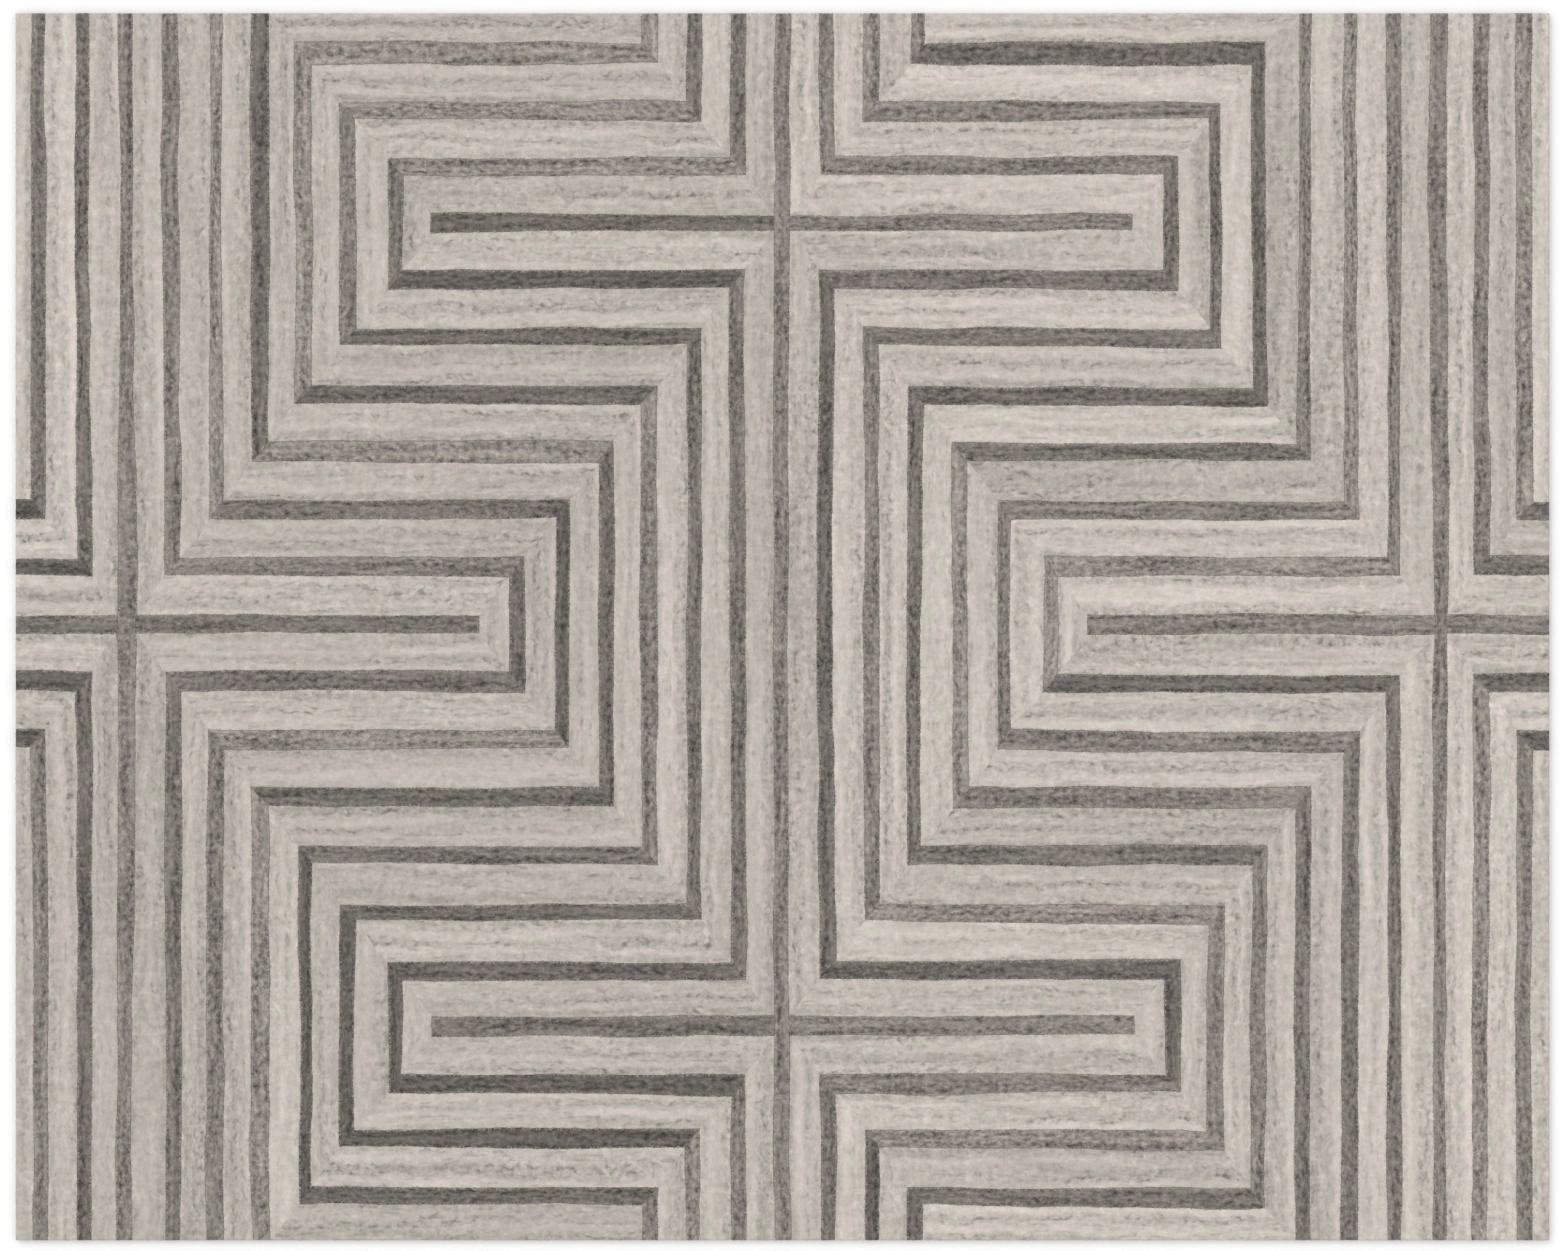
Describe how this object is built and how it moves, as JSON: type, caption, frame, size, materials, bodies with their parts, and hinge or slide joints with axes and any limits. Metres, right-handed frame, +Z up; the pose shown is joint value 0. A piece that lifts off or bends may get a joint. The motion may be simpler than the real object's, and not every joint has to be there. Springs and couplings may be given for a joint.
{
  "type": "area rug",
  "caption": "Flat rectangular hand-tufted wool rug with a maze of grey lines on ivory bands, over cloth, latex and canvas with taped edges.",
  "frame": {"origin": "on the floor, under the middle of the rug's rectangle", "axes": "+Z up through the pile, +X along the rug's long side, +Y towards its back edge"},
  "size_m": [3.048, 2.4384, 0.0144],
  "materials": {
    "ivory_wool": "matte cut wool pile, ivory with pale warm and grey streaks along each run",
    "grey_wool": "matte cut wool pile, heathered warm grey",
    "cotton_cloth": "plain undyed primary cloth",
    "latex": "dull cream latex coat",
    "cotton_canvas": "plain undyed cotton canvas",
    "cotton_tape": "undyed twill tape",
    "label_cloth": "blank white woven label",
    "sewing_thread": "undyed polyester-cotton sewing thread"
  },
  "bodies": {
    "root": {"back_left_corner_band_1": "ivory_wool", "back_left_corner_band_2": "ivory_wool", "back_left_corner_band_3": "ivory_wool", "back_left_corner_line_1": "grey_wool", "back_left_corner_line_2": "grey_wool", "back_right_corner_band_1": "ivory_wool", "back_right_corner_band_2": "ivory_wool", "back_right_corner_band_3": "ivory_wool", "back_right_corner_line_1": "grey_wool", "back_right_corner_line_2": "grey_wool", "canvas_backing": "cotton_canvas", "care_label": "label_cloth", "centre_tree_line": "grey_wool", "front_left_corner_band_1": "ivory_wool", "front_left_corner_band_2": "ivory_wool", "front_left_corner_band_3": "ivory_wool", "front_left_corner_line_1": "grey_wool", "front_left_corner_line_2": "grey_wool", "front_right_corner_band_1": "ivory_wool", "front_right_corner_band_2": "ivory_wool", "front_right_corner_band_3": "ivory_wool", "front_right_corner_line_1": "grey_wool", "front_right_corner_line_2": "grey_wool", "hem_tape_back": "cotton_tape", "hem_tape_front": "cotton_tape", "hem_tape_left": "cotton_tape", "hem_tape_right": "cotton_tape", "hem_thread": "sewing_thread", "label_thread": "sewing_thread", "latex_layer": "latex", "left_ivory_band_1": "ivory_wool", "left_ivory_band_2": "ivory_wool", "left_ivory_band_3": "ivory_wool", "left_ivory_band_4": "ivory_wool", "left_ivory_band_5": "ivory_wool", "left_ivory_band_6": "ivory_wool", "left_ivory_band_7": "ivory_wool", "left_tree_line": "grey_wool", "left_zigzag_line_1": "grey_wool", "left_zigzag_line_2": "grey_wool", "left_zigzag_line_3": "grey_wool", "left_zigzag_line_4": "grey_wool", "left_zigzag_line_5": "grey_wool", "left_zigzag_line_6": "grey_wool", "primary_cloth": "cotton_cloth", "right_ivory_band_1": "ivory_wool", "right_ivory_band_2": "ivory_wool", "right_ivory_band_3": "ivory_wool", "right_ivory_band_4": "ivory_wool", "right_ivory_band_5": "ivory_wool", "right_ivory_band_6": "ivory_wool", "right_ivory_band_7": "ivory_wool", "right_tree_line": "grey_wool", "right_zigzag_line_1": "grey_wool", "right_zigzag_line_2": "grey_wool", "right_zigzag_line_3": "grey_wool", "right_zigzag_line_4": "grey_wool", "right_zigzag_line_5": "grey_wool", "right_zigzag_line_6": "grey_wool"}
  },
  "joints": []
}
